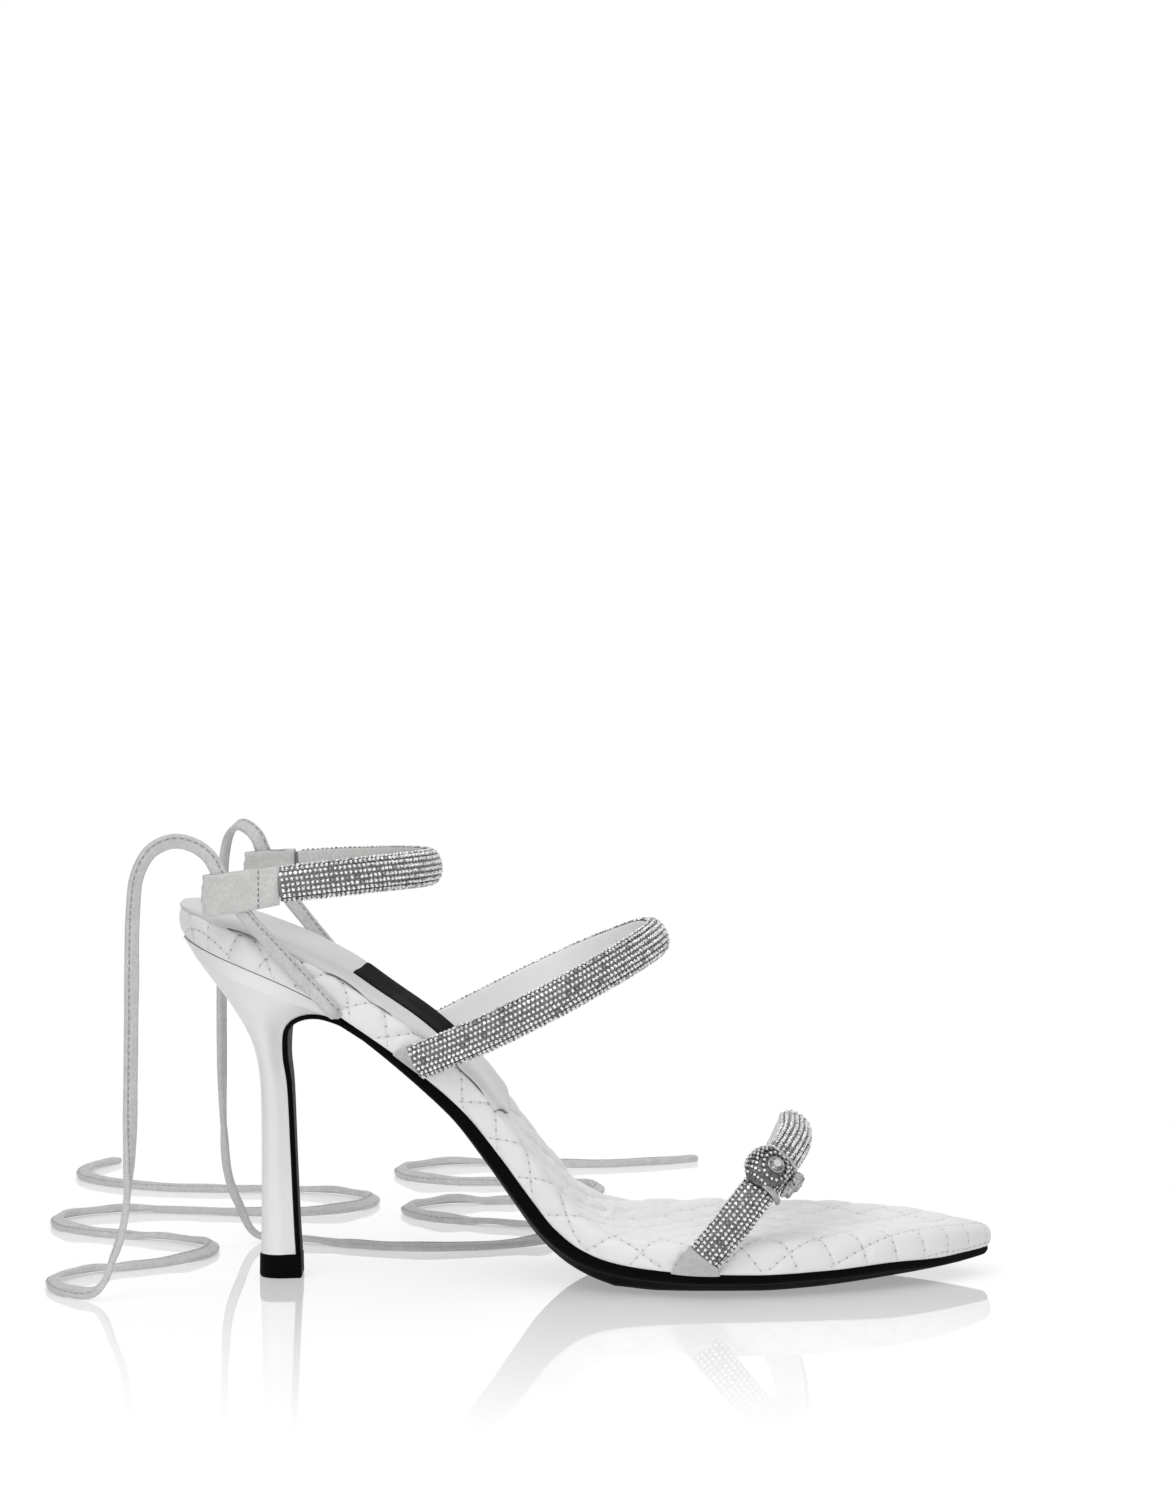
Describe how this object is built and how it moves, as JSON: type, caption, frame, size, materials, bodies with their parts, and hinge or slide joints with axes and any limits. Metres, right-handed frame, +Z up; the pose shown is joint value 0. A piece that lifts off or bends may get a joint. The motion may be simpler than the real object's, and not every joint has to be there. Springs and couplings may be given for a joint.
{
  "type": "lace-up sandal",
  "caption": "White lace-up sandal with a pointed quilted footbed, a slim stiletto heel, padded crystal-covered straps and long grey suede ties.",
  "frame": {"origin": "middle of the shoe's own box on the floor it stands on, without the free ends of the laces", "axes": "+X to the toe, +Y to the inner (medial) side of the right foot, +Z up"},
  "size_m": [0.276, 0.2491, 0.1251],
  "materials": {
    "white_leather_quilted": "quilted satin nappa",
    "white_leather": "smooth satin",
    "black_sole": "satin",
    "crystal": "foiled crystal rows on padded tape",
    "grey_suede": "suede",
    "ornament_metal": "pave-set polished metal"
  },
  "bodies": {
    "root": {"footbed": "white_leather_quilted", "outsole": "black_sole", "heel": "white_leather", "heel_top_piece": "black_sole", "toe_strap": "crystal", "instep_strap": "crystal", "ankle_strap": "crystal", "lace_sleeve_lateral": "grey_suede", "lace_sleeve_medial": "grey_suede", "lace_lateral": "grey_suede", "lace_medial": "grey_suede", "lace_end_lateral": "grey_suede", "lace_end_medial": "grey_suede", "strap_ornament": "ornament_metal"}
  },
  "joints": []
}
